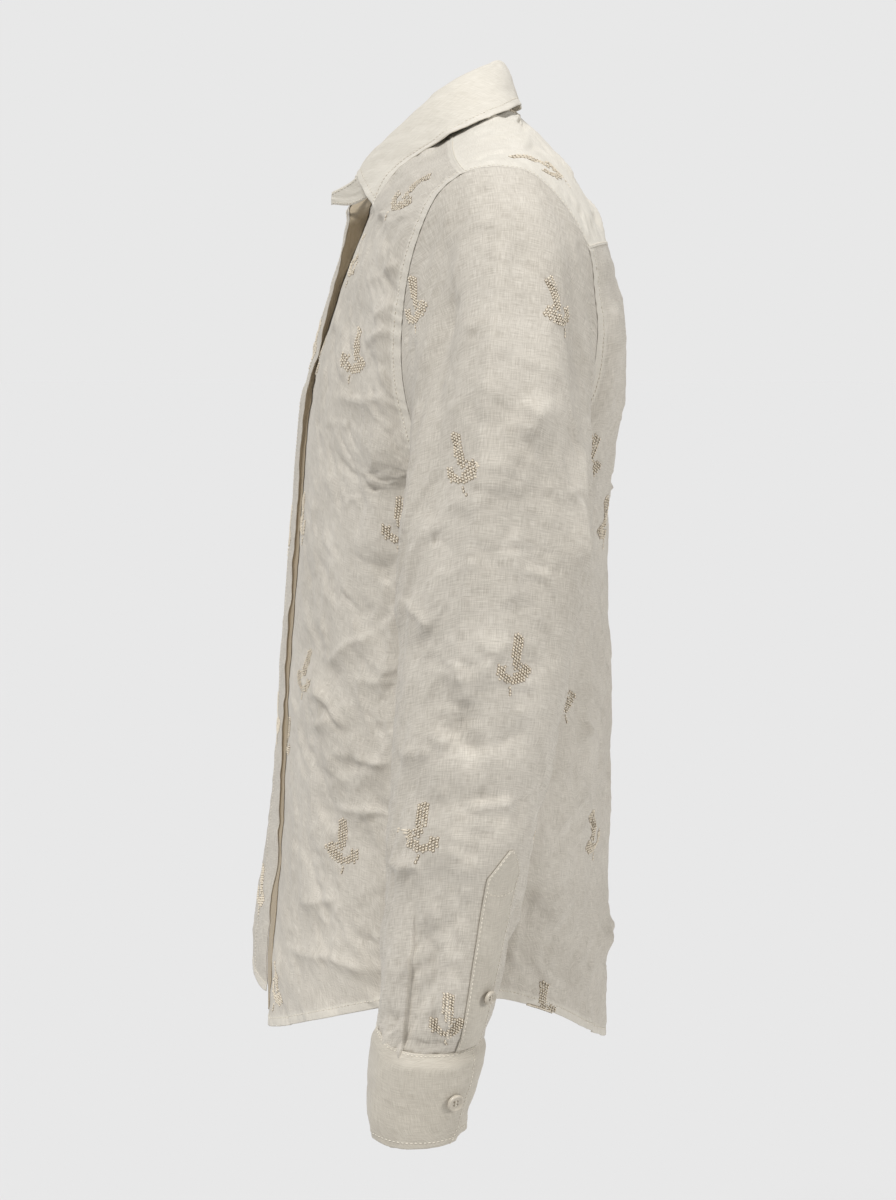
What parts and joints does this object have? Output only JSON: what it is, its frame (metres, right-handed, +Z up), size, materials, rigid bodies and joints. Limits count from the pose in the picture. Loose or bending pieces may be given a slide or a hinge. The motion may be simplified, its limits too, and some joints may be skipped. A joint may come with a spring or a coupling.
{
  "type": "embroidered linen shirt",
  "caption": "Long-sleeved linen shirt in its worn, hollow form: turned-down collar, hidden button stand, yoke, curved hem, buttoned cuffs.",
  "frame": {"origin": "the middle of the neck loop, level with the collar seam at the sides of the neck", "axes": "+Z up along the wearer's neck, the wearer faces -Y, and the wearer's left arm is on +X"},
  "size_m": [0.5464, 0.2654, 0.7042],
  "materials": {
    "linen": "matte, plain weave, slightly sheer",
    "linen_double": "matte, plain weave, two layers",
    "button": "soft gloss, pearly cream"
  },
  "bodies": {
    "root": {"front_left": "linen", "front_right": "linen", "fly_stand": "linen", "back": "linen", "sleeve_left": "linen", "sleeve_right": "linen", "placket_left": "linen_double", "placket_right": "linen_double", "cuff_left": "linen_double", "cuff_right": "linen_double", "yoke": "linen_double", "collar_stand": "linen_double", "collar_leaf": "linen_double", "cuff_button_left": "button", "cuff_button_right": "button", "placket_button_left": "button", "placket_button_right": "button"}
  },
  "joints": []
}
